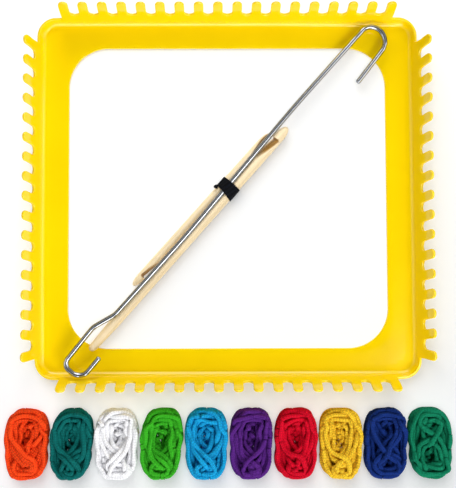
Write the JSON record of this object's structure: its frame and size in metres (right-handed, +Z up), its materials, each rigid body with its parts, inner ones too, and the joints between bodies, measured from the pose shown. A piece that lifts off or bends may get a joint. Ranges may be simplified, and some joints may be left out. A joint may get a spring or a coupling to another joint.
{
  "type": "potholder loom",
  "caption": "Square pressed-metal potholder weaving loom with upright pegs, a tied bundle of wire and crochet hooks, and a row of cotton loop hanks.",
  "frame": {"origin": "on the table, under the middle of the whole kit: the loom stands behind it and the hanks before it", "axes": "+X to the right along the row of hanks, +Y from the hanks to the loom's far side, +Z up from the table"},
  "size_m": [0.221, 0.2344, 0.02],
  "materials": {
    "yellow_enamel": "gloss",
    "steel_wire": "polished",
    "bamboo": "satin",
    "black_elastic": "matte",
    "orange_cotton": "matte",
    "teal_cotton": "matte",
    "white_cotton": "matte",
    "green_cotton": "matte",
    "sky_cotton": "matte",
    "purple_cotton": "matte",
    "red_cotton": "matte",
    "yellow_cotton": "matte",
    "navy_cotton": "matte",
    "emerald_cotton": "matte"
  },
  "bodies": {
    "loom": {"tray": "yellow_enamel", "peg_row_front": "yellow_enamel", "peg_row_back": "yellow_enamel", "peg_row_left": "yellow_enamel", "peg_row_right": "yellow_enamel"},
    "wire": {"wire_hook": "steel_wire", "elastic_tie": "black_elastic", "tie_knot": "black_elastic"},
    "long_hook": {"long_crochet_hook": "bamboo"},
    "short_hook": {"short_crochet_hook": "bamboo"},
    "orange_hank": {"loops_orange": "orange_cotton"},
    "teal_hank": {"loops_teal": "teal_cotton"},
    "white_hank": {"loops_white": "white_cotton"},
    "green_hank": {"loops_green": "green_cotton"},
    "sky_hank": {"loops_sky": "sky_cotton"},
    "purple_hank": {"loops_purple": "purple_cotton"},
    "red_hank": {"loops_red": "red_cotton"},
    "yellow_hank": {"loops_yellow": "yellow_cotton"},
    "navy_hank": {"loops_navy": "navy_cotton"},
    "emerald_hank": {"loops_emerald": "emerald_cotton"}
  },
  "joints": [
    {"name": "bundle_lift", "type": "slide", "parent": "loom", "child": "wire", "axis": [0, 0, 1], "range_m": [0, 0.06]},
    {"name": "long_hook_draw", "type": "slide", "parent": "wire", "child": "long_hook", "axis": [0.6639, 0.7478, 0], "range_m": [-0.008, 0.03]},
    {"name": "short_hook_draw", "type": "slide", "parent": "wire", "child": "short_hook", "axis": [0.6691, 0.7431, 0], "range_m": [-0.025, 0]},
    {"name": "orange_hank_lift", "type": "slide", "parent": "loom", "child": "orange_hank", "axis": [0, 0, 1], "range_m": [0, 0.06]},
    {"name": "teal_hank_lift", "type": "slide", "parent": "loom", "child": "teal_hank", "axis": [0, 0, 1], "range_m": [0, 0.06]},
    {"name": "white_hank_lift", "type": "slide", "parent": "loom", "child": "white_hank", "axis": [0, 0, 1], "range_m": [0, 0.06]},
    {"name": "green_hank_lift", "type": "slide", "parent": "loom", "child": "green_hank", "axis": [0, 0, 1], "range_m": [0, 0.06]},
    {"name": "sky_hank_lift", "type": "slide", "parent": "loom", "child": "sky_hank", "axis": [0, 0, 1], "range_m": [0, 0.06]},
    {"name": "purple_hank_lift", "type": "slide", "parent": "loom", "child": "purple_hank", "axis": [0, 0, 1], "range_m": [0, 0.06]},
    {"name": "red_hank_lift", "type": "slide", "parent": "loom", "child": "red_hank", "axis": [0, 0, 1], "range_m": [0, 0.06]},
    {"name": "yellow_hank_lift", "type": "slide", "parent": "loom", "child": "yellow_hank", "axis": [0, 0, 1], "range_m": [0, 0.06]},
    {"name": "navy_hank_lift", "type": "slide", "parent": "loom", "child": "navy_hank", "axis": [0, 0, 1], "range_m": [0, 0.06]},
    {"name": "emerald_hank_lift", "type": "slide", "parent": "loom", "child": "emerald_hank", "axis": [0, 0, 1], "range_m": [0, 0.06]}
  ]
}
